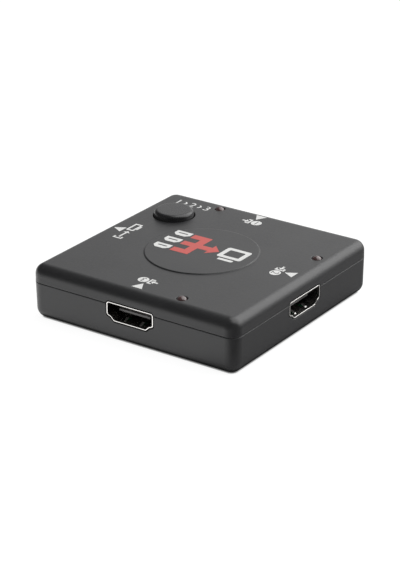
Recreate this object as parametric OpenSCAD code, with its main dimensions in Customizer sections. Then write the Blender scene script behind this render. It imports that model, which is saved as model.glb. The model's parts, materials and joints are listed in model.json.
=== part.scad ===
// Square video switch box: three input sockets, one output socket, a select button and three lamps.
// Millimetres. The origin is the centre of the underside and +Z points up.
// Side 0 is the front (input 3), then counter-clockwise: right (input 2), back (input 1), left (output).

/* [Case] */
// Side of the square case, at the seam
case_side = 64; // [60:0.5:76]
// Height of the case, without the button
case_height = 15; // [14:0.25:20]
// Height of the seam between the covers
seam_height = 10.3; // [9.6:0.1:11]
// Thickness of the side walls
wall = 2; // [1.6:0.1:2.4]
// Thickness of the floor
floor_thickness = 2; // [1.6:0.1:2.6]
// Thickness of the roof
roof_thickness = 2; // [1.4:0.1:2.4]
// Radius of the four upright corners
corner_radius = 3.2; // [2.8:0.1:6]
// Radius along the upper edges
top_edge_radius = 2.8; // [1:0.1:3]
// Radius along the lower edges
bottom_edge_radius = 2.8; // [1:0.1:3]
// Lean of the side walls away from the seam, in degrees
draft = 1; // [0.25:0.25:2]
// Open line between the covers
seam_gap = 0.1; // [0.1:0.05:0.4]
// Bevel on the rims of the covers
rim_bevel = 0.05; // [0.05:0.05:0.3]
// Height of the lip that locates the covers
lip_height = 1.2; // [0.8:0.1:1.6]
// Thickness of the lip
lip_thickness = 0.9; // [0.6:0.1:1.1]
// Clearance outside the lip
lip_clearance = 0.1; // [0.05:0.05:0.2]
// Radius of the raised disc on the roof
disc_radius = 15.2; // [10:0.1:17]
// Height of the raised disc
disc_rise = 0.25; // [0.2:0.05:0.8]
// Radius along the disc's edge
disc_edge_radius = 0.15; // [0.05:0.05:0.2]

/* [Screws and posts] */
// Distance from the case side to a screw's axis
post_inset = 5.8; // [5.6:0.1:7]
// Radius of the roof posts
post_radius = 2.5; // [2:0.1:2.8]
// Radius of the floor bosses
boss_radius = 3.1; // [2.8:0.1:3.2]
// Thickness of the ribs that brace the posts
gusset_thickness = 1; // [0.6:0.1:1.4]
// Radius of a screw's head
screw_head_radius = 1.9; // [1.6:0.1:2.1]
// Height of a screw's head
screw_head_height = 1.3; // [1:0.1:1.4]
// Radius of a screw's shank
screw_radius = 0.9; // [0.7:0.05:1.1]
// Length of a screw's shank
screw_length = 8; // [7:0.5:9]
// Length of a screw's point
screw_point = 1; // [0.5:0.1:1.5]
// Radius of the end of a screw's point
screw_tip_radius = 0.3; // [0.2:0.05:0.5]
// Width of the slots of the cross recess
recess_width = 0.5; // [0.3:0.05:0.6]
// Length of the slots of the cross recess
recess_length = 2.2; // [1.6:0.1:2.4]
// Depth of the cross recess
recess_depth = 0.7; // [0.4:0.1:0.9]
// Depth of a head below the underside
screw_sink = 0.5; // [0.2:0.1:0.8]
// Clearance round a screw's head
head_clearance = 0.2; // [0.1:0.05:0.4]
// Clearance round a shank in the floor and the board
shank_clearance = 0.35; // [0.2:0.05:0.5]
// Clearance round a shank in its post
pilot_clearance = 0.03; // [0.01:0.01:0.08]

/* [Circuit board] */
// Thickness of the board
board_thickness = 1.6; // [1:0.2:2]
// Height of the bosses and ribs under the board
board_standoff = 2.2; // [1.8:0.1:2.4]
// Gap between the board and the walls
board_gap = 0.5; // [0.3:0.1:0.8]
// Corner radius of the board
board_radius = 1.5; // [1:0.1:3]
// Length of a support rib behind each socket's mouth
rib_length = 10; // [6:0.5:11]
// Thickness of a support rib
rib_thickness = 1.2; // [0.8:0.1:1.6]
// Distance from a socket's mouth to its support rib
rib_setback = 7; // [6.5:0.1:7.5]
// Length of soldered legs below the board
solder_tail = 0.7; // [0.4:0.1:0.9]
// Clearance of a leg in its hole in the board
leg_clearance = 0.12; // [0.08:0.01:0.2]

/* [Sockets] */
// Width of a socket's opening
opening_width = 14; // [13:0.1:15]
// Height of a socket's opening
opening_height = 4.55; // [4.4:0.05:4.8]
// Corner radius of the opening
opening_radius = 0.5; // [0.3:0.05:0.6]
// How far the flat bottom ends inside the upright sides
foot_inset = 1.8; // [1.6:0.1:2.4]
// How far the shoulder ends inside the upright sides
shoulder_inset = 0.85; // [0.6:0.05:1.1]
// Height of the shoulder's inner end
shoulder_height = 1.4; // [1.25:0.05:1.5]
// Height of the shoulder's outer end
jog_height = 1.72; // [1.6:0.02:1.9]
// Thickness of the shell's sheet
sheet = 0.27; // [0.25:0.01:0.4]
// Depth of a socket
socket_depth = 11.4; // [10.8:0.1:12.4]
// How far a socket stands out of the case
socket_proud = 0; // [-0.2:0.05:0.4]
// Gap between a socket and the covers
socket_gap = 0.28; // [0.1:0.02:0.3]
// Distance of the shell's springs from its middle
spring_offset = 2.5; // [2:0.1:3.2]
// Width of a spring
spring_width = 0.8; // [0.7:0.1:1.4]
// Length of a spring
spring_length = 4.6; // [3.5:0.1:5]
// Distance from the mouth to a spring's tip
spring_setback = 1.1; // [0.8:0.1:1.4]
// Distance from a spring's tip to the crest of its bow
spring_crest = 1.4; // [0.8:0.1:2]
// How far a spring bows into the opening
spring_bow = 0.5; // [0.4:0.05:0.7]
// Length of the bevel on a spring's tip
spring_bevel = 0.3; // [0.1:0.05:0.5]
// Slot left round a spring
spring_slot = 0.3; // [0.2:0.05:0.4]
// Width of a shell's legs
leg_width = 1.2; // [0.8:0.1:1.3]
// Distance from the mouth to the front legs
front_leg = 4.6; // [4.4:0.1:5]
// Distance from the mouth to the rear legs
rear_leg = 9.4; // [9.2:0.1:9.8]
// Width of the tongue beside its outer contacts
tongue_edge = 0.2; // [0.1:0.05:0.8]
// Thickness of the tongue
tongue_thickness = 2; // [1.6:0.1:2]
// Distance from the mouth to the tongue's tip
tongue_setback = 2.2; // [1.6:0.1:2.6]
// Height of the tongue's blunt tip
tongue_tip = 0.5; // [0.3:0.05:0.8]
// Length of the slopes to the tongue's tip
tongue_lead = 1; // [0.5:0.1:1.1]
// Length of the insulator's block behind the opening
block_length = 3.6; // [3:0.1:4]
// Distance between contacts of one row
contact_pitch = 1; // [0.9:0.02:1.1]
// Contacts in the upper row
upper_contacts = 10; // [8:1:10]
// Width of a contact
contact_width = 0.3; // [0.2:0.02:0.36]
// Thickness of a contact
contact_thickness = 0.15; // [0.1:0.01:0.2]
// Distance from the tongue's tip to the contacts
contact_setback = 1.2; // [1.2:0.1:1.6]
// How far a contact stands out of the tongue
contact_proud = 0.03; // [0.01:0.01:0.06]
// Length of a contact's soldered foot
contact_foot = 0.9; // [0.6:0.1:1.1]
// Distance from a socket's back to the contacts' tails
tail_setback = 0.35; // [0.2:0.05:0.5]
// Fit of an insulator in its shell, and of contacts in their slots
socket_fit = 0.03; // [0.01:0.01:0.05]

/* [Select button] */
// Distance from the left side to the button's axis
button_from_left = 11; // [10:0.5:14]
// Distance from the back side to the button's axis
button_from_back = 15.2; // [14:0.1:18]
// Diameter of the button where it leaves the roof
button_diameter = 11.2; // [9:0.1:12]
// How much narrower the button is below its rim
button_taper = 0.1; // [0.1:0.1:1]
// Radius of the button's rim
button_rim_radius = 1.1; // [0.4:0.1:1.2]
// Height of the button over the roof
button_rise = 1.7; // [1.4:0.1:3]
// Gap round the button in its hole
button_gap = 0.2; // [0.15:0.05:0.4]
// Width of the flange that keeps the button in
flange_width = 1; // [0.8:0.1:1.2]
// Thickness of the flange
flange_thickness = 0.9; // [0.7:0.1:1.2]
// Gap between the flange and the roof
flange_gap = 0.1; // [0.05:0.05:0.2]
// Thickness of the button's skin
button_skin = 1.2; // [0.9:0.1:1.5]
// Radius of the button's stem
stem_radius = 1.9; // [1.5:0.1:2.2]

/* [Push switch] */
// Side of the square switch
tact_side = 6; // [5.6:0.1:6.4]
// Height of the switch's base
tact_height = 3.1; // [2.8:0.1:3.3]
// Thickness of the base's floor
tact_floor = 0.7; // [0.5:0.1:0.9]
// Thickness of the switch's sheet cover
tact_sheet = 0.3; // [0.2:0.05:0.4]
// Radius of the plunger
plunger_radius = 1.75; // [1.5:0.05:1.9]
// Height of the plunger over the sheet cover
plunger_rise = 0.9; // [0.7:0.1:1.2]
// Width of the plunger's flange
plunger_flange = 0.5; // [0.3:0.05:0.6]
// Running clearance of the plunger
plunger_clearance = 0.1; // [0.05:0.05:0.15]
// Height of the snap dome
dome_height = 0.75; // [0.65:0.05:0.9]
// Thickness of the snap dome
dome_thickness = 0.12; // [0.08:0.01:0.15]
// Radius of the base's rivets
rivet_radius = 0.4; // [0.3:0.05:0.45]
// Distance from the switch's middle to its rivets, each way
rivet_offset = 2.4; // [2.35:0.05:2.45]
// Height of the rivet heads over the sheet cover
rivet_head = 0.2; // [0.1:0.05:0.3]
// Distance between terminals on one side
terminal_pitch = 4.5; // [4:0.1:4.8]
// Width of a terminal
terminal_width = 0.7; // [0.5:0.05:0.8]
// Thickness of a terminal
terminal_thickness = 0.3; // [0.2:0.05:0.35]
// Height of a terminal over the board
terminal_height = 1.4; // [1:0.1:2]

/* [Lamps] */
// Distance from a case side to a lamp's axis
lamp_from_side = 4.6; // [4.4:0.1:5.4]
// Distance of a lamp from the middle of its side
lamp_from_middle = 13; // [11:0.5:15]
// Radius of a lamp's lens
lens_radius = 1.4; // [1.2:0.05:1.7]
// Height of a lamp
lamp_height = 5.3; // [4.6:0.1:5.6]
// Width of the flange round a lamp's foot
lamp_flange = 0.4; // [0.3:0.05:0.5]
// Height of the flange
lamp_flange_height = 1; // [0.8:0.1:1.2]
// Height of the dome's top over the roof
lamp_rise = 0.6; // [0.2:0.05:0.9]
// Clearance round a lens in its hole
lens_clearance = 0.1; // [0.05:0.05:0.2]
// Distance between a lamp's leads
lead_pitch = 1.27; // [1:0.01:1.6]
// Side of a square lead
lead_side = 0.45; // [0.35:0.05:0.5]
// Depth of the leads inside the lens
lead_depth = 2; // [1.5:0.1:2.4]

/* [Chips] */
// Gap between a chip's body and the board
chip_standoff = 0.1; // [0.05:0.05:0.2]
// Thickness of the chips' leads
pin_thickness = 0.15; // [0.1:0.01:0.2]
// Length of a lead's shelf beside the body
pin_shelf = 0.35; // [0.25:0.05:0.5]
// Length of a lead's foot
pin_foot = 0.6; // [0.4:0.05:0.8]
// Bevel round a chip's upper edge
chip_bevel = 0.15; // [0.05:0.05:0.2]
// Radius of the dimple that marks the first lead
dimple_radius = 0.5; // [0.3:0.05:0.6]
// Distance of the dimple from the chip's sides
dimple_inset = 1.5; // [1:0.1:1.7]
// Depth of the dimple
dimple_depth = 0.1; // [0.05:0.05:0.2]
// Side of the selector chip
selector_side = 10; // [9:0.5:11]
// Height of the selector chip's body
selector_height = 1.4; // [1:0.1:1.6]
// Leads on each side of the selector chip
selector_pins = 16; // [12:1:16]
// Distance between the selector chip's leads
selector_pitch = 0.5; // [0.45:0.01:0.55]
// Width of the selector chip's leads
selector_pin_width = 0.22; // [0.18:0.01:0.26]
// Length of the logic chip
logic_length = 8.65; // [8.4:0.05:9]
// Width of the logic chip
logic_width = 3.9; // [3.5:0.1:4.2]
// Height of the logic chip's body
logic_height = 1.45; // [1.2:0.05:1.6]
// Leads on each side of the logic chip
logic_pins = 7; // [4:1:7]
// Distance between the logic chip's leads
logic_pitch = 1.27; // [1.2:0.01:1.3]
// Width of the logic chip's leads
logic_pin_width = 0.42; // [0.35:0.01:0.5]
// Place of the logic chip from the middle of the board
logic_place = [-14, -14]; // [-15:0.5:-12]
// Length of the regulator
regulator_length = 6.5; // [6.2:0.1:6.8]
// Width of the regulator
regulator_width = 3.5; // [3.2:0.1:3.8]
// Height of the regulator's body
regulator_height = 1.6; // [1.4:0.1:1.8]
// Leads on one side of the regulator
regulator_pins = 3; // [2:1:3]
// Distance between the regulator's leads
regulator_pitch = 2.3; // [2.2:0.05:2.4]
// Width of the regulator's leads
regulator_lead_width = 0.7; // [0.6:0.05:0.8]
// Width of the regulator's heat tab
regulator_tab_width = 3; // [2.8:0.1:3.2]
// Place of the regulator from the middle of the board
regulator_place = [14, -14]; // [-15:0.5:15]

/* [Small components] */
// Length of a chip component with its terminals
component_length = 2; // [1.6:0.1:2.2]
// Width of a chip component
component_width = 1.25; // [0.8:0.05:1.3]
// Height of a chip capacitor
capacitor_height = 0.85; // [0.6:0.05:1]
// Height of a chip resistor
resistor_height = 0.5; // [0.4:0.05:0.6]
// Length of a component's terminal
terminal_length = 0.35; // [0.25:0.05:0.45]
// Free space round the small components
component_gap = 1; // [0.8:0.1:1.4]
// Capacitors along each side of the selector chip
capacitors_per_side = 2; // [1:1:3]
// Resistors behind each socket
resistors_per_side = 4; // [2:1:4]

/* [Hidden] */
$fn = 48;
SIDES = ["in_3", "in_2", "in_1", "out"];
LAMPS = [0 : 2];
LAMP_NAMES = ["lamp_3", "lamp_2", "lamp_1"];

case_black = [0.11, 0.11, 0.115];
insulator_black = [0.03, 0.03, 0.03];
chip_black = [0.06, 0.06, 0.065];
sheet_silver = [0.82, 0.82, 0.8];
tin = [0.7, 0.7, 0.72];
gold = [0.85, 0.65, 0.25];
board_green = [0.05, 0.3, 0.14];
lens_red = [0.35, 0.1, 0.1];
ceramic_tan = [0.6, 0.45, 0.3];

// Overrun that lets a cut pass clean through a face
over = 1;
// Least flat width kept beside an edge radius
least_flat = 0.1;
// Least radius inside an edge
least_inner_edge = 0.3;
// Depth of a grown outline's slanted edges inside the touching line of their arcs
slant_sink = 0.001;

// Heights, from the underside up
board_bottom = floor_thickness + board_standoff;
board_top = board_bottom + board_thickness;
ceiling = case_height - roof_thickness;
bottom_rim = seam_height - seam_gap / 2;
top_rim = seam_height + seam_gap / 2;
lip_top = top_rim + lip_height;
tail_end = board_bottom - solder_tail;
tact_top = board_top + tact_height;
plunger_top = tact_top + tact_sheet + plunger_rise;
dome_foot = board_top + tact_floor;
plunger_bottom = dome_foot + dome_height + plunger_clearance / 2;
lamp_top = case_height + lamp_rise;
lamp_foot = lamp_top - lamp_height;
button_top = case_height + button_rise;
flange_top = ceiling - flange_gap;
screw_seat = screw_sink + screw_head_height;
screw_end = screw_seat + screw_length;

// Plan sizes
half_side = case_side / 2;
corner_axis = half_side - corner_radius;
inner_corner = corner_radius - wall;
lip_corner = inner_corner + lip_thickness;
board_half = half_side - wall - board_gap;
post_axis = half_side - post_inset;
lamp_axis = half_side - lamp_from_side;
button_place = [button_from_left - half_side, half_side - button_from_back];
button_radius = button_diameter / 2;
socket_back = half_side + socket_proud - socket_depth;
plunger_flange_radius = plunger_radius + plunger_flange;
tact_bore = plunger_flange_radius + plunger_clearance;
terminal_axis = tact_side / 2 + terminal_thickness / 2;
lead_corner = lead_side / sqrt(2);

// Corner points of a square about the middle
function square_points(half) = [[-half, -half], [half, -half], [half, half], [-half, half]];

// Edge radius that still leaves a little flat inside its corner
function fitted_edge(edge, corner, height, lean) =
    min(edge, corner - height * tan(lean) - least_flat);

// Outline of a counter-clockwise polygon grown outwards, with round corners.
// A slanted edge lies a hair deeper, so that it crosses the arcs at its ends instead of just touching them.
module grown_outline(points, by) {
    count = len(points);
    polygon(points);
    for (i = [0 : count - 1]) {
        before = points[(i + count - 1) % count];
        a = points[i];
        b = points[(i + 1) % count];
        reach = a.x == b.x || a.y == b.y ? by : by - slant_sink;
        out = [b.y - a.y, a.x - b.x] * reach / norm(b - a);
        polygon([a, a + out, b + out, b]);
        if (cross(a - before, b - a) > 0) translate(a) circle(by);
    }
}

// Square outline with round corners
module rounded_square(half, radius) {
    grown_outline(square_points(half - radius), radius);
}

// Section of a case wall from a corner axis outwards: flat foot, rounded edge, leaning side
module wall_section(corner, height, edge, lean, bevel) {
    radius = fitted_edge(edge, corner, height, lean);
    centre = corner - (radius + (height - radius) * sin(lean)) / cos(lean);
    polygon([
        [0, 0],
        [centre, 0],
        [centre + radius * cos(lean), radius - radius * sin(lean)],
        [corner - bevel * tan(lean), height - bevel],
        [corner - bevel, height],
        [0, height]
    ]);
    translate([centre, radius]) intersection() {
        circle(radius);
        translate([0, -radius]) square(radius);
    }
}

// Block standing on z = 0 with rounded corners, a rounded lower edge and leaning sides
module rounded_block(corner, height, edge, lean = 0, bevel = 0) {
    translate([-corner_axis, -corner_axis, 0]) cube([2 * corner_axis, 2 * corner_axis, height]);
    for (i = [0 : 3]) rotate(90 * i) translate([corner_axis, corner_axis, 0]) {
        rotate_extrude(angle = 90) wall_section(corner, height, edge, lean, bevel);
        rotate([90, 0, 0]) linear_extrude(2 * corner_axis)
            wall_section(corner, height, edge, lean, bevel);
    }
}

// Radius inside an edge that the wall follows
function inner_edge(edge) = max(edge - wall, least_inner_edge);

// Four copies, one round each screw's axis
module at_posts() {
    for (i = [0 : 3]) rotate(90 * i) translate([post_axis, post_axis, 0]) children();
}

// Puts a socket, made with its mouth at y = 0 and its opening's bottom at z = 0, in a side
module at_side(side) {
    rotate(90 * side) translate([0, -half_side - socket_proud, board_top + sheet]) children();
}

// Puts a lamp beside the middle of a side
module at_lamp(side) {
    rotate(90 * side) translate([lamp_from_middle, -lamp_axis, 0]) children();
}

module at_button() {
    translate(button_place) children();
}

// Turns an outline drawn in width and height into a prism that runs inwards from y = start
module run_in(start, length) {
    translate([0, start + length, 0]) rotate([90, 0, 0]) linear_extrude(length) children();
}

// Turns an outline drawn in depth and height into a strip of a width about x = place
module strip(width, place) {
    translate([place - width / 2, 0, 0]) rotate([90, 0, 90]) linear_extrude(width) children();
}

// Corner centres of a socket's opening, counter-clockwise
function opening_core() =
    let (
        side = opening_width / 2 - opening_radius,
        foot = side - foot_inset,
        shoulder = side - shoulder_inset,
        top = opening_height - opening_radius
    )
    [
        [-foot, opening_radius],
        [foot, opening_radius],
        [shoulder, shoulder_height],
        [side, jog_height],
        [side, top],
        [-side, top],
        [-side, jog_height],
        [-shoulder, shoulder_height]
    ];

// Outline of a socket's opening, grown by a distance
module opening_outline(by = 0) {
    grown_outline(opening_core(), opening_radius + by);
}

// Hole for a socket through a case wall, open upwards where the socket is laid in from above
module socket_notch(open) {
    half = opening_width / 2 + sheet + socket_gap;
    length = socket_proud + wall + 2 * over;
    run_in(-over, length) {
        opening_outline(sheet + socket_gap);
        if (open) translate([-half, opening_height / 2]) square([2 * half, case_height]);
    }
}

// Solid roof half of the case, with its walls and disc
module top_cover() {
    color(case_black) difference() {
        union() {
            difference() {
                translate([0, 0, case_height]) mirror([0, 0, 1]) rounded_block(
                    corner_radius, case_height - top_rim, top_edge_radius, draft, rim_bevel);
                translate([0, 0, ceiling]) mirror([0, 0, 1]) rounded_block(
                    inner_corner, ceiling - top_rim + over, inner_edge(top_edge_radius));
            }
            raised_disc();
            at_posts() top_post();
        }
        translate([0, 0, top_rim - over]) linear_extrude(lip_height + over) difference() {
            rounded_square(corner_axis + lip_corner + lip_clearance, lip_corner + lip_clearance);
            rounded_square(corner_axis + inner_corner, inner_corner);
        }
        for (side = [0 : 3]) at_side(side) socket_notch(false);
        at_posts() translate([0, 0, board_top - over])
            cylinder(r = screw_radius + pilot_clearance, h = screw_end - board_top + 2 * over);
        at_button() translate([0, 0, ceiling - over])
            cylinder(r = button_radius + button_gap, h = roof_thickness + 2 * over);
        for (side = LAMPS) at_lamp(side) translate([0, 0, ceiling - over])
            cylinder(r = lens_radius + lens_clearance, h = roof_thickness + 2 * over);
    }
}

// Low round platform moulded on the roof
module raised_disc() {
    middle = disc_rise - disc_edge_radius;
    translate([0, 0, case_height]) rotate_extrude() {
        translate([0, -over]) square([disc_radius, over + middle]);
        square([disc_radius - disc_edge_radius, disc_rise]);
        translate([disc_radius - disc_edge_radius, middle]) intersection() {
            circle(disc_edge_radius);
            square(disc_edge_radius);
        }
    }
}

// Post that reaches down to the board, braced to both walls of its corner
module top_post() {
    translate([0, 0, board_top]) cylinder(r = post_radius, h = ceiling - board_top + over);
    for (turn = [0, 90]) rotate(turn)
        translate([0, -gusset_thickness / 2, lip_top])
            cube([post_inset - wall + over / 2, gusset_thickness, ceiling - lip_top + over]);
}

// Tray half of the case, with the lip, the bosses and the ribs that carry the board
module bottom_cover() {
    color(case_black) difference() {
        union() {
            difference() {
                union() {
                    rounded_block(corner_radius, bottom_rim, bottom_edge_radius, draft, rim_bevel);
                    translate([0, 0, bottom_rim - over]) linear_extrude(lip_top - bottom_rim + over)
                        rounded_square(corner_axis + lip_corner, lip_corner);
                }
                translate([0, 0, floor_thickness]) rounded_block(
                    inner_corner, lip_top - floor_thickness + over, inner_edge(bottom_edge_radius));
            }
            at_posts() translate([0, 0, floor_thickness - over])
                cylinder(r = boss_radius, h = board_standoff + over);
            for (side = [0 : 3]) at_side(side) board_rib();
        }
        for (side = [0 : 3]) at_side(side) socket_notch(true);
        at_posts() {
            translate([0, 0, -over]) cylinder(r = screw_head_radius + head_clearance, h = screw_seat + over);
            cylinder(r = screw_radius + shank_clearance, h = board_bottom + over);
        }
    }
}

// Rib across the floor under a socket, in the socket's own frame
module board_rib() {
    translate([-rib_length / 2, rib_setback - rib_thickness / 2, floor_thickness - over - board_top - sheet])
        cube([rib_length, rib_thickness, board_standoff + over]);
}

// Four self-tapping screws, heads down, with a cross recess
module case_screws() {
    color(tin) at_posts() difference() {
        union() {
            translate([0, 0, screw_sink]) cylinder(r = screw_head_radius, h = screw_head_height);
            translate([0, 0, screw_seat]) cylinder(r = screw_radius, h = screw_length - screw_point);
            translate([0, 0, screw_end - screw_point])
                cylinder(r1 = screw_radius, r2 = screw_tip_radius, h = screw_point);
        }
        for (turn = [0, 90]) rotate(turn) translate([-recess_length / 2, -recess_width / 2, 0])
            cube([recess_length, recess_width, screw_sink + recess_depth]);
    }
}

// Board with holes for the screws, the socket legs, the switch terminals and the lamp leads
module circuit_board() {
    hole_height = board_thickness + 2 * over;
    leg_hole = norm([leg_width, sheet]) / 2 + leg_clearance;
    terminal_hole = norm([terminal_width, terminal_thickness]) / 2 + leg_clearance;
    color(board_green) difference() {
        translate([0, 0, board_bottom]) linear_extrude(board_thickness)
            rounded_square(board_half, board_radius);
        at_posts() translate([0, 0, board_bottom - over])
            cylinder(r = screw_radius + shank_clearance, h = hole_height);
        for (side = [0 : 3]) at_side(side) at_legs()
            translate([0, 0, -sheet - board_thickness - over]) cylinder(r = leg_hole, h = hole_height);
        at_button() at_terminals()
            translate([0, 0, board_bottom - over]) cylinder(r = terminal_hole, h = hole_height);
        for (side = LAMPS) at_lamp(side) at_leads()
            translate([0, 0, board_bottom - over])
                cylinder(r = lead_corner + leg_clearance, h = hole_height);
    }
}

// The four legs of a socket's shell, in the socket's own frame
module at_legs() {
    for (hand = [-1, 1], depth = [front_leg, rear_leg])
        translate([hand * (opening_width + sheet) / 2, depth, 0]) children();
}

// The four terminals of the push switch, about its axis
module at_terminals() {
    for (hand = [0, 180], row = [-1, 1])
        rotate(hand) translate([terminal_axis, row * terminal_pitch / 2, 0]) children();
}

// The two leads of a lamp, about its axis
module at_leads() {
    for (hand = [-1, 1]) translate([hand * lead_pitch / 2, 0, 0]) children();
}

// Formed sheet shell of a socket: D-shaped tube, four bowed springs and four soldered legs
module socket_shell() {
    leg_bottom = tail_end - board_top - sheet;
    color(sheet_silver) {
        difference() {
            union() {
                run_in(0, socket_depth) difference() {
                    opening_outline(sheet);
                    opening_outline();
                }
                at_legs() translate([-sheet / 2, -leg_width / 2, leg_bottom])
                    cube([sheet, leg_width, opening_height / 2 - leg_bottom]);
            }
            for (hand = [-1, 1], flip = [0, 1]) spring_side(flip)
                strip(spring_width + 2 * spring_slot, hand * spring_offset)
                    translate([spring_setback - spring_slot, -sheet - over])
                        square([spring_length + spring_slot, sheet + 2 * over]);
        }
        for (hand = [-1, 1], flip = [0, 1]) spring_side(flip)
            strip(spring_width, hand * spring_offset) spring_outline();
    }
}

// Mirrors the lower springs to the upper side of the opening
module spring_side(flip) {
    translate([0, 0, flip * opening_height]) mirror([0, 0, flip]) children();
}

// Bowed spring in depth and height: rooted in the lower sheet at its back, bowed up towards its bevelled tip
module spring_outline() {
    root = spring_setback + spring_length;
    crest = spring_setback + spring_crest;
    bevel_end = spring_setback + spring_bevel;
    polygon([
        [root + sheet, -sheet],
        [root + sheet, 0],
        [root, 0],
        [crest, spring_bow],
        [bevel_end, 0],
        [spring_setback, -sheet],
        [bevel_end, -sheet],
        [crest, spring_bow - sheet],
        [root, -sheet]
    ]);
}

// Width of the tongue, and its heights in the opening
tongue_width = (upper_contacts - 1) * contact_pitch + contact_width + 2 * tongue_edge;
tongue_middle = opening_height / 2;
tongue_bottom = tongue_middle - tongue_thickness / 2;
tongue_top = tongue_middle + tongue_thickness / 2;

// Contact places across the socket: the lower row has one less and sits between the upper ones
function contact_places(count) = [for (i = [0 : count - 1]) (i - (count - 1) / 2) * contact_pitch];

// Lower face of an upper contact, and of a lower one
upper_contact = tongue_top + contact_proud - contact_thickness;
lower_contact = tongue_bottom - contact_proud;
contact_front = tongue_setback + contact_setback;

// Moulded insulator: block that fills the shell's back, and tongue with a slot for each contact
module socket_insulator() {
    color(insulator_black) difference() {
        union() {
            run_in(socket_depth - block_length, block_length) opening_outline(-socket_fit);
            strip(tongue_width, 0) polygon([
                [tongue_setback, tongue_middle - tongue_tip / 2],
                [tongue_setback + tongue_lead, tongue_bottom],
                [socket_depth - over, tongue_bottom],
                [socket_depth - over, tongue_top],
                [tongue_setback + tongue_lead, tongue_top],
                [tongue_setback, tongue_middle + tongue_tip / 2]
            ]);
        }
        for (x = contact_places(upper_contacts)) contact_slot(x, upper_contact);
        for (x = contact_places(upper_contacts - 1)) contact_slot(x, lower_contact);
    }
}

// Slot for one contact along the tongue and through the block
module contact_slot(x, level) {
    strip(contact_width + 2 * socket_fit, x) translate([contact_front - socket_fit, level - socket_fit])
        square([socket_depth - contact_front + over, contact_thickness + 2 * socket_fit]);
}

// Both rows of contacts, with tails bent down to feet on the board
module socket_contacts() {
    color(gold) {
        for (x = contact_places(upper_contacts)) contact(x, upper_contact);
        for (x = contact_places(upper_contacts - 1)) contact(x, lower_contact);
    }
}

module contact(x, level) {
    tail = socket_depth + tail_setback;
    strip(contact_width, x) polygon([
        [contact_front, level],
        [tail, level],
        [tail, -sheet],
        [tail + contact_foot, -sheet],
        [tail + contact_foot, contact_thickness - sheet],
        [tail + contact_thickness, contact_thickness - sheet],
        [tail + contact_thickness, level + contact_thickness],
        [contact_front, level + contact_thickness]
    ]);
}

// Turned button cap: rounded rim, tapered side, keeping flange and a stem that sits on the plunger
module select_button() {
    rim = button_radius - button_taper;
    rim_centre = [rim - button_rim_radius, button_top - button_rim_radius];
    hollow = rim - button_skin;
    color(case_black) at_button() rotate_extrude() {
        difference() {
            union() {
                polygon([
                    [0, flange_top - flange_thickness],
                    [button_radius, flange_top - flange_thickness],
                    [button_radius, case_height],
                    [rim, rim_centre.y],
                    [rim_centre.x, rim_centre.y],
                    [rim_centre.x, button_top],
                    [0, button_top]
                ]);
                translate(rim_centre) intersection() {
                    circle(button_rim_radius);
                    square(button_rim_radius);
                }
                translate([0, flange_top - flange_thickness])
                    square([button_radius + button_gap + flange_width, flange_thickness]);
            }
            translate([0, flange_top - flange_thickness - over])
                square([hollow, button_top - button_skin - flange_top + flange_thickness + over]);
        }
        translate([0, plunger_top]) square([stem_radius, button_top - button_skin / 2 - plunger_top]);
    }
}

// Moulded base of the push switch, with the well for the dome and plunger and four rivets
module tact_base() {
    color(insulator_black) at_button() {
        difference() {
            translate([-tact_side / 2, -tact_side / 2, board_top]) cube([tact_side, tact_side, tact_height]);
            translate([0, 0, dome_foot]) cylinder(r = tact_bore, h = tact_height);
        }
        at_rivets() translate([0, 0, tact_top - over])
            cylinder(r = rivet_radius, h = tact_sheet + rivet_head + over);
    }
}

module at_rivets() {
    for (x = [-1, 1], y = [-1, 1]) translate([x * rivet_offset, y * rivet_offset, 0]) children();
}

// Sheet cover that keeps the plunger in the base
module tact_cover() {
    color(sheet_silver) at_button() difference() {
        translate([-tact_side / 2, -tact_side / 2, tact_top]) cube([tact_side, tact_side, tact_sheet]);
        translate([0, 0, tact_top - over])
            cylinder(r = plunger_radius + plunger_clearance, h = tact_sheet + 2 * over);
        at_rivets() translate([0, 0, tact_top - over])
            cylinder(r = rivet_radius + socket_fit, h = tact_sheet + 2 * over);
    }
}

// Plunger with the flange that the sheet cover keeps in
module tact_plunger() {
    color(chip_black) at_button() {
        translate([0, 0, plunger_bottom]) cylinder(r = plunger_radius, h = plunger_top - plunger_bottom);
        translate([0, 0, plunger_bottom])
            cylinder(r = plunger_flange_radius, h = tact_top - plunger_clearance / 2 - plunger_bottom);
    }
}

// Snap dome: thin cap of a sphere standing on the base's floor
module tact_dome() {
    foot_radius = tact_bore - plunger_clearance;
    sphere_radius = (foot_radius ^ 2 + dome_height ^ 2) / (2 * dome_height);
    color(sheet_silver) at_button() translate([0, 0, dome_foot]) intersection() {
        translate([0, 0, dome_height - sphere_radius]) difference() {
            sphere(sphere_radius);
            sphere(sphere_radius - dome_thickness);
        }
        translate([-tact_side / 2, -tact_side / 2, 0]) cube([tact_side, tact_side, tact_height]);
    }
}

// Four terminals of the push switch, from the base's sides down through the board
module tact_terminals() {
    color(tin) at_button() at_terminals()
        translate([-terminal_thickness / 2, -terminal_width / 2, tail_end])
            cube([terminal_thickness, terminal_width, board_top + terminal_height - tail_end]);
}

// Leads of one lamp: two straight square wires that end inside the lens
module lamp_lead_pair() {
    at_leads() translate([-lead_side / 2, -lead_side / 2, tail_end])
        cube([lead_side, lead_side, lamp_foot + lead_depth - tail_end]);
}

// Round-nosed lens moulded over its leads
module lamp() {
    color(lens_red) difference() {
        union() {
            translate([0, 0, lamp_foot]) cylinder(r = lens_radius + lamp_flange, h = lamp_flange_height);
            translate([0, 0, lamp_foot]) cylinder(r = lens_radius, h = lamp_height - lens_radius);
            translate([0, 0, lamp_top - lens_radius]) sphere(lens_radius);
        }
        lamp_lead_pair();
    }
}

module lamp_leads() {
    color(tin) for (side = LAMPS) at_lamp(side) lamp_lead_pair();
}

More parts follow.
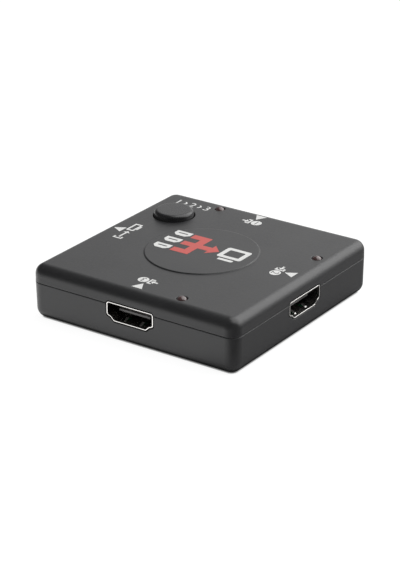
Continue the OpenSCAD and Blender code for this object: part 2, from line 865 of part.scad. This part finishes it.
// Chip body with a bevelled upper edge along its length and a dimple beside its first lead
module chip_body(length, width, height) {
    bottom = board_top + chip_standoff;
    top = bottom + height;
    color(chip_black) difference() {
        strip(length, 0) polygon([
            [-width / 2, bottom],
            [width / 2, bottom],
            [width / 2, top - chip_bevel],
            [width / 2 - chip_bevel, top],
            [chip_bevel - width / 2, top],
            [-width / 2, top - chip_bevel]
        ]);
        translate([dimple_inset - length / 2, dimple_inset - width / 2, top - dimple_depth])
            cylinder(r = dimple_radius, h = dimple_depth + over);
    }
}

// Gull-wing leads in a row along a chip's side, from the body at y = -start down to feet on the board
module pin_row(count, pitch, width, start, level) {
    knee = start + pin_shelf;
    for (i = [0 : count - 1]) strip(width, (i - (count - 1) / 2) * pitch) polygon([
        [-start, level],
        [pin_thickness - knee, level],
        [pin_thickness - knee, board_top],
        [pin_thickness - knee - pin_foot, board_top],
        [pin_thickness - knee - pin_foot, board_top + pin_thickness],
        [-knee, board_top + pin_thickness],
        [-knee, level + pin_thickness],
        [-start, level + pin_thickness]
    ]);
}

// Height at which a chip's leads leave its body
function pin_level(height) = board_top + chip_standoff + (height - pin_thickness) / 2;

module selector_chip() {
    chip_body(selector_side, selector_side, selector_height);
}

module selector_chip_pins() {
    level = pin_level(selector_height);
    color(tin) for (i = [0 : 3]) rotate(90 * i)
        pin_row(selector_pins, selector_pitch, selector_pin_width, selector_side / 2, level);
}

module logic_chip() {
    translate(logic_place) chip_body(logic_length, logic_width, logic_height);
}

module logic_chip_pins() {
    color(tin) translate(logic_place) for (turn = [0, 180]) rotate(turn)
        pin_row(logic_pins, logic_pitch, logic_pin_width, logic_width / 2, pin_level(logic_height));
}

module voltage_regulator() {
    translate(regulator_place) chip_body(regulator_length, regulator_width, regulator_height);
}

// Three leads on one side of the regulator and a wide heat tab on the other
module regulator_leads() {
    level = pin_level(regulator_height);
    color(tin) translate(regulator_place) {
        pin_row(regulator_pins, regulator_pitch, regulator_lead_width, regulator_width / 2, level);
        rotate(180) pin_row(1, 0, regulator_tab_width, regulator_width / 2, level);
    }
}

// Places of the small components in a row along x, about x = 0
function component_places(count) =
    [for (i = [0 : count - 1]) (i - (count - 1) / 2) * (component_width + component_gap)];

// Rows of capacitors round the selector chip
module at_capacitors() {
    reach = selector_side / 2 + pin_shelf + pin_foot + component_gap + component_length / 2;
    for (i = [0 : 3], x = component_places(capacitors_per_side)) rotate(90 * i)
        translate([x, -reach, board_top]) children();
}

// Rows of resistors behind the sockets' tails
module at_resistors() {
    reach = socket_back - tail_setback - contact_foot - component_gap - component_length / 2;
    for (i = [0 : 3], x = component_places(resistors_per_side)) rotate(90 * i)
        translate([x, -reach, board_top]) children();
}

// Middle of a chip component, between its terminals
module component_middle(height) {
    length = component_length - 2 * terminal_length;
    translate([-component_width / 2, -length / 2, 0]) cube([component_width, length, height]);
}

// Both end terminals of a chip component
module component_ends(height) {
    for (turn = [0, 180]) rotate(turn)
        translate([-component_width / 2, component_length / 2 - terminal_length, 0])
            cube([component_width, terminal_length, height]);
}

module chip_capacitors() {
    color(ceramic_tan) at_capacitors() component_middle(capacitor_height);
}

module chip_resistors() {
    color(chip_black) at_resistors() component_middle(resistor_height);
}

module chip_terminals() {
    color(tin) {
        at_capacitors() component_ends(capacitor_height);
        at_resistors() component_ends(resistor_height);
    }
}

top_cover();
bottom_cover();
case_screws();
circuit_board();
select_button();
for (side = [0 : 3]) {
    at_side(side) socket_shell();
    at_side(side) socket_insulator();
    at_side(side) socket_contacts();
}
tact_base();
tact_cover();
tact_plunger();
tact_dome();
tact_terminals();
for (side = LAMPS) {
    at_lamp(side) lamp();
}
lamp_leads();
selector_chip();
selector_chip_pins();
logic_chip();
logic_chip_pins();
voltage_regulator();
regulator_leads();
chip_capacitors();
chip_resistors();
chip_terminals();
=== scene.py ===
"""Looks of a square video switch box: finishes, printed marks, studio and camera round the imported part."""

import json
import math

import bmesh
import bpy
from mathutils import Matrix, Vector

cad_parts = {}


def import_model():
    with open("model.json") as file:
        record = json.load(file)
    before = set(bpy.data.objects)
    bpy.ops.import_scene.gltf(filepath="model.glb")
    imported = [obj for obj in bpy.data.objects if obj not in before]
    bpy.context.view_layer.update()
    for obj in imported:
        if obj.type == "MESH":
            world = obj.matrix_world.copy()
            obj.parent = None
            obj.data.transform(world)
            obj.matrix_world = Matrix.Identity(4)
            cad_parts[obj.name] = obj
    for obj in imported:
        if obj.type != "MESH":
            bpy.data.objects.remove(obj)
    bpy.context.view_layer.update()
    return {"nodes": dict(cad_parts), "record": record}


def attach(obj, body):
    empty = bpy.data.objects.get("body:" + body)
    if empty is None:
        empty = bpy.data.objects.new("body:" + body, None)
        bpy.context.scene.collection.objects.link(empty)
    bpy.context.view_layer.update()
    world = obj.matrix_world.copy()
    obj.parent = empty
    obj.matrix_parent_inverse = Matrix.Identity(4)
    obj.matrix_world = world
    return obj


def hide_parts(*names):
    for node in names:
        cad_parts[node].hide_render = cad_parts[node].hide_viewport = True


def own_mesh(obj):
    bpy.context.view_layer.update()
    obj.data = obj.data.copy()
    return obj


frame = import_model()
nodes = frame["nodes"]

MM = 0.001

# Photograph's camera: direction, tilt and distance from the aim point, which lies beside the origin
CAMERA_AZIMUTH = math.radians(34.978)
CAMERA_ELEVATION = math.radians(24.001)
CAMERA_ROLL = math.radians(-0.355)
CAMERA_DISTANCE = 519.618 * MM
AIM_RIGHT = -0.555 * MM
AIM_UP = 4.856 * MM
LENS = 123.5
SENSOR = 36

# Finishes: detail of the two noises, span of their product that gives the gloss, and samples of the masks
FINE_DETAIL = 3.0
SLOW_DETAIL = 4.0
GLOSS_SPAN = (0.1, 0.4)
EDGE_SAMPLES = 6
SOFT_SAMPLES = 8
# How alike the flat and the rounded normal are, from the edge itself to where its wear ends
EDGE_MATCH = (0.9, 0.995)
# How much a rounded edge turns
ROUND_TURN = (1.7, 1.7, 1.7)
METAL = {"Metallic": 1.0}

# Soft steps, here and in the studio: start, end, level before, level after
# Painted shade in recesses: how far a surface seeks others, and the step from darkened to full tone
PAINTED_SHADE_REACH = 6 * MM
PAINTED_SHADE_STEP = (0.7, 0.95, 0.0, 1.0)

# Printed film, the steps of its curves, and the height from which the roof is sought
INK_THICKNESS = 0.03 * MM
INK_SINK = 0.01 * MM
WELD = 1e-7
ARC_STEPS = 10
DIGIT_STEPS = 5
RAY_HEIGHT = 1.0

# Marks on the roof, in millimetres
PRINT_SHIFT = (-0.35, 0.45)
LABEL_REACH = 23.85
POINTER_REACH = 27.35
POINTER_HALF = 1.65
POINTER_HEIGHT = 3.0
ARROW_STROKE = 0.55
BRACKET_HALF = 1.4
BRACKET_STROKE = 0.5
SIDE_TURNS = {"in_1": 0, "in_2": -90, "in_3": 180, "out": 90}
SELECT_PLACE = (-20.8, 25.5)
DISC_PLACE = (-0.6, 1.7)
DISC_ROWS = (4.8, 0.0, -4.8)

# Studio, with a side that is left dark
WHITE = (1.0, 1.0, 1.0, 1.0)
DARK_SIDE = (0.82, -0.57, 0.0)

# Floor as the gloss shows it: bright to the front, fading far off and on the dark side, shaded by the object
FLOOR_HALF = 3.0
FORWARD = (-0.6, -0.8, 0)
FLOOR_FRONT = (8 * MM, 22 * MM, 0.4, 1.38)
FLOOR_FADE = (90 * MM, 300 * MM, 1.0, 0.3)
FLOOR_DARK = (47 * MM, 58 * MM, 1.0, 0.25)
WIDE_REACH = 15 * MM
WIDE_SHADE = (0.3, 0.8, 0.1, 1.0)
EDGE_REACH = 1.6 * MM
EDGE_SHADE = (0.55, 0.98, 0.1, 1.0)
# Floor as the eye sees it: contact shadow, share of glow beside the lamps' light, colour under the lamps
CONTACT_REACH = 0.5 * MM
CONTACT_SHADE = (0.1, 1.0, 0.1, 1.09)
FLOOR_GLOW = 0.85
FLOOR_COLOUR = (0.86, 0.86, 0.86, 1)

# World: fill for matt surfaces, and for the gloss a white sweep behind the object and a low horizon
FILL = 0.4
SWEEP_BEHIND = (0.2, 0.78, 0.0, 0.93)
SWEEP_HEIGHT = (0.66, 0.85, 1.0, 0.0)
SWEEP_ACROSS = (-0.95, -0.35, 0.05, 1.0)
HORIZON = (0.0, 0.4, 0.3, 0.06)
HORIZON_DARK = (0.4, 0.75, 1.0, 0.05)

# Lamps, by their direction from the object's middle, sizes in metres
LAMPS = {
    "key": {"direction": (-0.3, -0.25, 0.9), "distance": 0.9, "width": 0.7, "height": 0.7,
            "radiance": 0.6, "glossy": False},
    "overhead": {"direction": (0.36, 0.48, 0.8), "distance": 0.9, "width": 1.2, "height": 1.4,
                 "radiance": 2.4, "glossy": True},
}


# Shader helpers

def shader(tree, kind, inputs=(), **settings):
    """A shader node with its settings and its inputs, which are values or other nodes' outputs."""
    made = tree.nodes.new("ShaderNode" + kind)
    for name, value in settings.items():
        setattr(made, name, value)
    for name, value in dict(inputs).items():
        if isinstance(value, bpy.types.NodeSocket):
            tree.links.new(value, made.inputs[name])
        else:
            made.inputs[name].default_value = value
    return made


def new_material(name):
    """An empty material, its node tree and its output node."""
    material = bpy.data.materials.new(name)
    material.use_nodes = True
    tree = material.node_tree
    tree.nodes.clear()
    return material, tree, shader(tree, "OutputMaterial")


def noise(tree, size, detail):
    """Noise in the part's own frame, with features of a size in metres."""
    place = shader(tree, "TexCoord").outputs["Object"]
    return shader(tree, "TexNoise", {"Vector": place, "Scale": 1 / size, "Detail": detail}).outputs["Fac"]


def straight(tree, value, start, end, low, high):
    """A value from start to end, brought to low to high."""
    return shader(tree, "MapRange", {0: value, 1: start, 2: end, 3: low, 4: high}).outputs[0]


def smooth(tree, value, start, end, low, high):
    """A soft step from low to high, between two values."""
    ends = {0: value, 1: start, 2: end, 3: low, 4: high}
    return shader(tree, "MapRange", ends, interpolation_type="SMOOTHSTEP").outputs[0]


def maths(tree, operation, *values):
    """Outcome of a sum, a product and the like."""
    return shader(tree, "Math", dict(enumerate(values)), operation=operation).outputs[0]


def product(tree, first, *others):
    """Values multiplied together."""
    for other in others:
        first = maths(tree, "MULTIPLY", first, other)
    return first


def along(tree, vector, direction):
    """How far a vector reaches in a direction."""
    return shader(tree, "VectorMath", {0: vector, 1: direction}, operation="DOT_PRODUCT").outputs["Value"]


def levels(tree, factor, first, second):
    """Mix of two levels."""
    return shader(tree, "Mix", {0: factor, 2: first, 3: second}, data_type="FLOAT").outputs[0]


def colours(tree, factor, first, second):
    """Mix of two colours, each of which is a triple or a socket."""
    first, second = (c if isinstance(c, bpy.types.NodeSocket) else (*c, 1) for c in (first, second))
    return shader(tree, "Mix", {0: factor, 6: first, 7: second}, data_type="RGBA").outputs[2]


def shade(colour, factor):
    """A colour made lighter or darker."""
    return tuple(min(1.0, c * factor) for c in colour)


def openness(tree, reach, step):
    """A soft step over how free a place is of other surfaces within a reach."""
    free = shader(tree, "AmbientOcclusion", {"Distance": reach}, samples=SOFT_SAMPLES).outputs["AO"]
    return smooth(tree, free, *step)


def edge_mask(tree, radius, most):
    """Grows to its most along convex and concave edges within a radius."""
    rounded = shader(tree, "Bevel", {"Radius": radius}, samples=EDGE_SAMPLES).outputs[0]
    flat = shader(tree, "NewGeometry").outputs["Normal"]
    return straight(tree, along(tree, rounded, flat), *EDGE_MATCH, most, 0)


def rounded_normal(tree, radius):
    """Normal of a surface whose edges are round, turned as far as the edge itself would be."""
    flat = shader(tree, "NewGeometry").outputs["Normal"]
    soft = shader(tree, "Bevel", {"Radius": radius}, samples=SOFT_SAMPLES).outputs[0]
    turned = shader(tree, "VectorMath", {0: soft, 1: flat}, operation="SUBTRACT").outputs[0]
    full = shader(tree, "VectorMath", {0: turned, 1: ROUND_TURN, 2: flat}, operation="MULTIPLY_ADD")
    return shader(tree, "VectorMath", {0: full.outputs[0]}, operation="NORMALIZE").outputs[0]


def surface(name, colour, roughness, grain, depth, patch=12 * MM, spread=0.15, wear=0.0, worn=None,
            edge=0.35 * MM, rounding=0.0, painted_recess_shade=None, sockets=()):
    """Finish with a fine grain of a size and depth, and slow patches of tone and gloss.

    Its edges may be rubbed or rounded, and within a recess its tone is darkened to that share, a painted
    shade.
    """
    material, tree, output = new_material(name)
    fine = noise(tree, grain, FINE_DETAIL)
    slow = noise(tree, patch, SLOW_DETAIL)
    tone = colours(tree, slow, shade(colour, 1 - spread), shade(colour, 1 + spread))
    if wear:
        tone = colours(tree, edge_mask(tree, edge, wear), tone, worn)
    # Painted shade: the tone darkens to a share of itself where other surfaces are near
    if painted_recess_shade:
        tone = colours(tree, openness(tree, PAINTED_SHADE_REACH, PAINTED_SHADE_STEP), shade(colour, painted_recess_shade), tone)
    gloss = straight(tree, product(tree, fine, slow), *GLOSS_SPAN, *roughness)
    relief = shader(tree, "Bump", {"Height": fine, "Distance": depth, "Strength": 1.0})
    if rounding:
        tree.links.new(rounded_normal(tree, rounding), relief.inputs["Normal"])
    inputs = {"Base Color": tone, "Roughness": gloss, "Normal": relief.outputs[0], **dict(sockets)}
    body = shader(tree, "BsdfPrincipled", inputs)
    tree.links.new(body.outputs[0], output.inputs["Surface"])
    return material


# Finishes, by the record's slots

FINISHES = {
    "case_plastic": surface(
        "moulded_black", (0.02, 0.02, 0.021), roughness=(0.31, 0.4), grain=0.4 * MM, depth=0.01 * MM,
        wear=0.3, worn=(0.05, 0.05, 0.052), rounding=0.35 * MM),
    "button_plastic": surface(
        "button_black", (0.014, 0.014, 0.015), roughness=(0.22, 0.31), grain=0.18 * MM, depth=0.003 * MM,
        wear=0.25, worn=(0.04, 0.04, 0.042)),
    # Painted shade darkens the sheet inside the sockets' mouths
    "socket_sheet": surface(
        "plated_sheet", (0.92, 0.9, 0.87), roughness=(0.2, 0.32), grain=0.12 * MM, depth=0.001 * MM,
        spread=0.06, rounding=0.16 * MM, painted_recess_shade=0.42, sockets=METAL),
    "insulator": surface(
        "insulator_black", (0.045, 0.041, 0.039), roughness=(0.3, 0.4), grain=0.15 * MM, depth=0.002 * MM,
        wear=0.5, worn=(0.12, 0.12, 0.13), edge=0.15 * MM, sockets={"Specular IOR Level": 0.9}),
    "contact_gold": surface(
        "contact_gold", (0.86, 0.6, 0.22), roughness=(0.18, 0.32), grain=0.1 * MM, depth=0.001 * MM,
        spread=0.08, sockets=METAL),
    "plated_steel": surface(
        "zinc_plate", (0.58, 0.58, 0.6), roughness=(0.25, 0.42), grain=0.1 * MM, depth=0.002 * MM,
        spread=0.1, sockets=METAL),
    "tinned_leads": surface(
        "tinned_lead", (0.72, 0.72, 0.74), roughness=(0.28, 0.45), grain=0.08 * MM, depth=0.002 * MM,
        spread=0.1, sockets=METAL),
    "board": surface(
        "solder_mask", (0.012, 0.12, 0.045), roughness=(0.2, 0.35), grain=0.4 * MM, depth=0.004 * MM,
        patch=3 * MM),
    "lamp_lens": surface(
        "tinted_lens", (0.07, 0.034, 0.033), roughness=(0.24, 0.34), grain=0.5 * MM, depth=0.002 * MM,
        patch=1.5 * MM,
        sockets={"Transmission Weight": 0.2, "IOR": 1.6, "Coat Weight": 0.6, "Coat Roughness": 0.2}),
    "chip_resin": surface(
        "chip_resin", (0.02, 0.02, 0.021), roughness=(0.45, 0.6), grain=0.12 * MM, depth=0.004 * MM),
    "ceramic": surface(
        "ceramic_tan", (0.36, 0.22, 0.12), roughness=(0.35, 0.5), grain=0.15 * MM, depth=0.003 * MM),
}
WHITE_INK = surface(
    "white_ink", (0.62, 0.62, 0.61), roughness=(0.4, 0.55), grain=0.15 * MM, depth=0.003 * MM,
    patch=2 * MM, spread=0.05)
RED_INK = surface(
    "red_ink", (0.47, 0.078, 0.067), roughness=(0.4, 0.55), grain=0.15 * MM, depth=0.003 * MM,
    patch=2 * MM, spread=0.08)


def set_material(piece, material):
    """One material all over a piece."""
    piece.data.materials.clear()
    piece.data.materials.append(material)


SLOTS = {part["node"]: part["material_slot"] for part in frame["record"]["subparts"]}
for node, slot in SLOTS.items():
    set_material(nodes[node], FINISHES[slot])


# Snap dome of the push switch

def snap_dome():
    """A copy of the push switch's dome, fixed to the case, standing in for the imported dome, which is
    hidden.
    """
    piece = bpy.data.objects.new("snap_dome", nodes["tact_dome"].data.copy())
    bpy.context.scene.collection.objects.link(piece)
    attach(piece, "case")
    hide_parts("tact_dome")
    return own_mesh(piece)


snap_dome()


# Flat outlines, in millimetres

def arc(centre, radius, start, end):
    """Points along an arc, with its angles in degrees."""
    turn = end - start
    steps = max(2, round(ARC_STEPS * abs(turn) / 90))
    angles = [math.radians(start + turn * i / steps) for i in range(steps + 1)]
    return [(centre[0] + radius * math.cos(a), centre[1] + radius * math.sin(a)) for a in angles]


def disc(centre, radius):
    """A closed circle."""
    return arc(centre, radius, 0, 360)[:-1]


def rounded_box(centre, width, height, radius):
    """A box with round corners."""
    x, y = width / 2 - radius, height / 2 - radius
    corners = ((x, y), (-x, y), (-x, -y), (x, -y))
    points = []
    for i, (dx, dy) in enumerate(corners):
        points += arc((centre[0] + dx, centre[1] + dy), radius, 90 * i, 90 * i + 90)
    return points


def arrow(start, tip, head):
    """An arrow along the x axis, with a head as long as half its width."""
    neck = tip - head
    half = ARROW_STROKE / 2
    return [(start, -half), (neck, -half), (neck, -head), (tip, 0), (neck, head), (neck, half), (start, half)]


def bracket(back, mouth):
    """A square bracket about the x axis, from its back to its open ends."""
    inside = back + math.copysign(BRACKET_STROKE, mouth - back)
    outer, inner = BRACKET_HALF, BRACKET_HALF - BRACKET_STROKE
    return [(mouth, outer), (back, outer), (back, -outer), (mouth, -outer), (mouth, -inner), (inside, -inner),
            (inside, inner), (mouth, inner)]


def screen(centre, rim, window, foot, drop):
    """A screen over its foot: rim, window and foot each have a width, a height and a corner radius."""
    x, y = centre
    return [rounded_box(centre, *rim), rounded_box(centre, *window), rounded_box((x, y - drop), *foot)]


def placed(outlines, place, turn=0.0):
    """Outlines turned by an angle in degrees and then moved to a place."""
    c, s = math.cos(math.radians(turn)), math.sin(math.radians(turn))
    return [[(place[0] + x * c - y * s, place[1] + x * s + y * c) for x, y in points] for points in outlines]


def spline_points(spline):
    """Points round a closed Bezier spline."""
    knots = list(spline.bezier_points)
    points = []
    for a, b in zip(knots, knots[1:] + knots[:1]):
        for i in range(DIGIT_STEPS):
            t = i / DIGIT_STEPS
            p = ((1 - t) ** 3 * a.co + 3 * t * (1 - t) ** 2 * a.handle_right
                 + 3 * t * t * (1 - t) * b.handle_left + t ** 3 * b.co)
            points.append((p.x, p.y))
    return points


def digit_outlines(digit, height, bold):
    """Outlines of a plain digit about its own middle."""
    text = bpy.data.curves.new("digit", "FONT")
    text.body = digit
    text.offset = bold
    piece = bpy.data.objects.new("digit", text)
    bpy.context.scene.collection.objects.link(piece)
    drawn = piece.to_curve(bpy.context.evaluated_depsgraph_get())
    outlines = [spline_points(spline) for spline in drawn.splines]
    piece.to_curve_clear()
    bpy.data.objects.remove(piece)
    xs = [x for points in outlines for x, _ in points]
    ys = [y for points in outlines for _, y in points]
    middle = ((min(xs) + max(xs)) / 2, (min(ys) + max(ys)) / 2)
    scale = height / (max(ys) - min(ys))
    return [[((x - middle[0]) * scale, (y - middle[1]) * scale) for x, y in points] for points in outlines]


# Printed marks

def roof_height(x, y):
    """Height of the top cover under a place in millimetres."""
    cover = nodes["top_cover"].evaluated_get(bpy.context.evaluated_depsgraph_get())
    hit, point, _, _ = cover.ray_cast(Vector((x * MM, y * MM, RAY_HEIGHT)), Vector((0, 0, -1)))
    if not hit:
        raise ValueError(f"no roof under {x}, {y}")
    return point.z


def printed(name, outlines, material, on):
    """A thin closed film of ink on the roof: outlines inside others are holes."""
    curve = bpy.data.curves.new(name, "CURVE")
    curve.dimensions = "2D"
    curve.fill_mode = "BOTH"
    curve.extrude = INK_THICKNESS / 2
    for points in outlines:
        spline = curve.splines.new("POLY")
        spline.points.add(len(points) - 1)
        for knot, (x, y) in zip(spline.points, points):
            knot.co = (x * MM, y * MM, 0, 1)
        spline.use_cyclic_u = True
    drawn = bpy.data.objects.new(name + "_outline", curve)
    bpy.context.scene.collection.objects.link(drawn)
    flat = bpy.data.meshes.new_from_object(drawn.evaluated_get(bpy.context.evaluated_depsgraph_get()))
    bpy.data.objects.remove(drawn)
    shape = bmesh.new()
    shape.from_mesh(flat)
    bmesh.ops.remove_doubles(shape, verts=shape.verts, dist=WELD)
    bmesh.ops.recalc_face_normals(shape, faces=shape.faces)
    bmesh.ops.translate(shape, verts=shape.verts, vec=(0, 0, roof_height(*on) + INK_THICKNESS / 2 - INK_SINK))
    shape.to_mesh(flat)
    shape.free()
    piece = bpy.data.objects.new(name, flat)
    bpy.context.scene.collection.objects.link(piece)
    set_material(piece, material)
    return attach(piece, "case")


def pointer(inwards):
    """A triangle about its own middle, pointing to -y or to +y."""
    tip = POINTER_HEIGHT / (-2 if inwards else 2)
    points = [(-POINTER_HALF, -tip), (POINTER_HALF, -tip), (0, tip)]
    return points if inwards else points[::-1]


def input_label(digit):
    """A number knocked out of a dot, beside an arrow into a bracket."""
    dot_place, dot_radius = (1.45, 0), 1.5
    number = placed(digit_outlines(digit, height=2.1, bold=0.02), dot_place)
    into = arrow(start=-3.0, tip=-0.95, head=0.95)
    return [disc(dot_place, dot_radius), *number, into, bracket(back=-0.3, mouth=-1.6)]


def output_label():
    """A bracket, an arrow out of it and a screen."""
    out = arrow(start=-4.5, tip=-0.2, head=1.05)
    shown = screen((2.9, 0.3), rim=(4.8, 2.4, 0.3), window=(3.6, 1.3, 0.15), foot=(2.4, 0.45, 0.15), drop=1.5)
    return [bracket(back=-5.6, mouth=-4.4), out, *shown]


def side_marks():
    """The label and the pointer of each socket."""
    for side, turn in SIDE_TURNS.items():
        label = output_label() if side == "out" else input_label(side[-1])
        outlines = placed(label, (0, LABEL_REACH)) + placed([pointer(side != "out")], (0, POINTER_REACH))
        outlines = placed(outlines, PRINT_SHIFT, turn)
        printed("mark_" + side, outlines, WHITE_INK, placed([[(0, LABEL_REACH)]], PRINT_SHIFT, turn)[0][0])


def chevron():
    """A sign that points from one number to the next."""
    half, tall, stroke = 0.6, 0.9, 0.55
    return [(-half, -tall), (stroke - half, -tall), (half, 0), (stroke - half, tall), (-half, tall),
            (half - stroke, 0)]


def select_mark():
    """The numbers in turn, in a row behind the button."""
    step, height, bold = 2.4, 2.8, 0.03
    signs = [[chevron()] if sign == ">" else digit_outlines(sign, height, bold) for sign in "1>2>3"]
    outlines = []
    for i, sign in enumerate(signs):
        outlines += placed(sign, (SELECT_PLACE[0] + step * (i - len(signs) // 2), SELECT_PLACE[1]))
    printed("mark_select", outlines, WHITE_INK, SELECT_PLACE)


def socket_sign(centre):
    """A plain D-shaped socket with its tongue."""
    wide, narrow = 2.5, 1.4
    top, shoulder, bottom = 1.5, -0.3, -1.4
    left = [(-wide, top), (-wide, shoulder), (-narrow, bottom)]
    outer = left + [(-x, y) for x, y in reversed(left)]
    tongue = rounded_box((0, 0.25), width=2.9, height=0.55, radius=0.1)
    return placed([outer, tongue], centre)


def route_sign():
    """Three leads that join into one arrow."""
    start, bus, half, tip, head = -6.9, -2.4, 1.2, 4.9, 2.9
    neck, top = tip - head, DISC_ROWS[0]
    near, far = bus - half, bus + half
    return [(start, top + half), (far, top + half), (far, half), (neck, half), (neck, head), (tip, 0),
            (neck, -head), (neck, -half), (far, -half), (far, -top - half), (start, -top - half),
            (start, half - top), (near, half - top), (near, -half), (start, -half), (start, half),
            (near, half), (near, top - half), (start, top - half)]


def disc_marks():
    """Three sockets led into one screen, printed on the raised disc."""
    column = -10.1
    sockets = [outline for row in DISC_ROWS for outline in socket_sign((column, row))]
    printed("disc_sockets", placed(sockets, DISC_PLACE), WHITE_INK, DISC_PLACE)
    printed("disc_route", placed([route_sign()], DISC_PLACE), RED_INK, DISC_PLACE)
    shown = screen((9.2, 0.8), rim=(7.4, 6.4, 0.7), window=(4.8, 3.8, 0.3), foot=(4.6, 1.1, 0.3), drop=4.4)
    printed("disc_screen", placed(shown, DISC_PLACE), WHITE_INK, DISC_PLACE)


side_marks()
select_mark()
disc_marks()


# Studio

def camera_rays(tree):
    """One for what the camera sees at once."""
    return shader(tree, "LightPath").outputs["Is Camera Ray"]


def mirrored_rays(tree):
    """One for what is seen in a gloss or through a lens."""
    path = shader(tree, "LightPath").outputs
    return maths(tree, "MAXIMUM", path["Is Glossy Ray"], path["Is Transmission Ray"])


def floor():
    """A white floor that keeps a share of the shadow, and is brighter to the front in the case's gloss."""
    mesh = bpy.data.meshes.new("floor")
    h = FLOOR_HALF
    mesh.from_pydata([(-h, -h, 0), (h, -h, 0), (h, h, 0), (-h, h, 0)], [], [(0, 1, 2, 3)])
    piece = bpy.data.objects.new("floor", mesh)
    bpy.context.scene.collection.objects.link(piece)
    material, tree, output = new_material("floor_white")
    mirrored = mirrored_rays(tree)
    place = shader(tree, "NewGeometry").outputs["Position"]
    forward = along(tree, place, FORWARD)
    bright = product(
        tree, smooth(tree, forward, *FLOOR_FRONT), smooth(tree, forward, *FLOOR_FADE),
        smooth(tree, along(tree, place, DARK_SIDE), *FLOOR_DARK),
        openness(tree, WIDE_REACH, WIDE_SHADE), openness(tree, EDGE_REACH, EDGE_SHADE))
    strength = levels(tree, mirrored, openness(tree, CONTACT_REACH, CONTACT_SHADE), bright)
    glow = shader(tree, "Emission", {"Color": WHITE, "Strength": strength}).outputs[0]
    matt = shader(tree, "BsdfDiffuse", {"Color": FLOOR_COLOUR}).outputs[0]
    shown = maths(tree, "MULTIPLY_ADD", camera_rays(tree), FLOOR_GLOW, mirrored)
    mixed = shader(tree, "MixShader", {0: shown, 1: matt, 2: glow})
    tree.links.new(mixed.outputs[0], output.inputs["Surface"])
    set_material(piece, material)


def world():
    """White to what sees it, an even fill, and a white sweep behind the object for its gloss."""
    made = bpy.data.worlds.new("studio")
    made.use_nodes = True
    tree = made.node_tree
    tree.nodes.clear()
    sight = shader(tree, "TexCoord").outputs["Generated"]
    direction = shader(tree, "SeparateXYZ", {0: sight}).outputs
    sweep = product(
        tree, smooth(tree, direction["Y"], *SWEEP_BEHIND), smooth(tree, direction["Z"], *SWEEP_HEIGHT),
        smooth(tree, direction["X"], *SWEEP_ACROSS))
    horizon = smooth(tree, direction["Z"], *HORIZON)
    lit = smooth(tree, along(tree, sight, DARK_SIDE), *HORIZON_DARK)
    gloss = maths(tree, "MULTIPLY_ADD", horizon, lit, sweep)
    level = levels(tree, mirrored_rays(tree), FILL, gloss)
    shown = levels(tree, camera_rays(tree), level, 1.0)
    back = shader(tree, "Background", {"Color": WHITE, "Strength": shown})
    output = shader(tree, "OutputWorld")
    tree.links.new(back.outputs[0], output.inputs["Surface"])
    bpy.context.scene.world = made


def softbox(name, direction, distance, width, height, radiance, glossy):
    """A rectangular lamp that faces the object's middle."""
    light = bpy.data.lights.new(name, "AREA")
    light.shape = "RECTANGLE"
    light.size = width
    light.size_y = height
    light.energy = math.pi * width * height * radiance
    piece = bpy.data.objects.new(name, light)
    bpy.context.scene.collection.objects.link(piece)
    away = Vector(direction).normalized()
    piece.location = away * distance
    piece.rotation_mode = "QUATERNION"
    piece.rotation_quaternion = away.to_track_quat("Z", "Y")
    piece.visible_camera = False
    piece.visible_glossy = glossy


def camera():
    """The photograph's view."""
    az, el = CAMERA_AZIMUTH, CAMERA_ELEVATION
    right = Vector((math.cos(az), math.sin(az), 0))
    back = Vector((math.sin(az) * math.cos(el), -math.cos(az) * math.cos(el), math.sin(el)))
    up = back.cross(right)
    data = bpy.data.cameras.new("camera")
    data.sensor_width = SENSOR
    data.lens = LENS
    piece = bpy.data.objects.new("camera", data)
    bpy.context.scene.collection.objects.link(piece)
    place = back * CAMERA_DISTANCE + right * AIM_RIGHT + up * AIM_UP
    level = Matrix((right, up, back)).transposed().to_4x4()
    piece.matrix_world = Matrix.Translation(place) @ level @ Matrix.Rotation(CAMERA_ROLL, 4, "Z")
    bpy.context.scene.camera = piece


floor()
world()
for lamp_name, lamp in LAMPS.items():
    softbox(lamp_name, **lamp)
camera()
bpy.context.scene.view_settings.view_transform = "Standard"
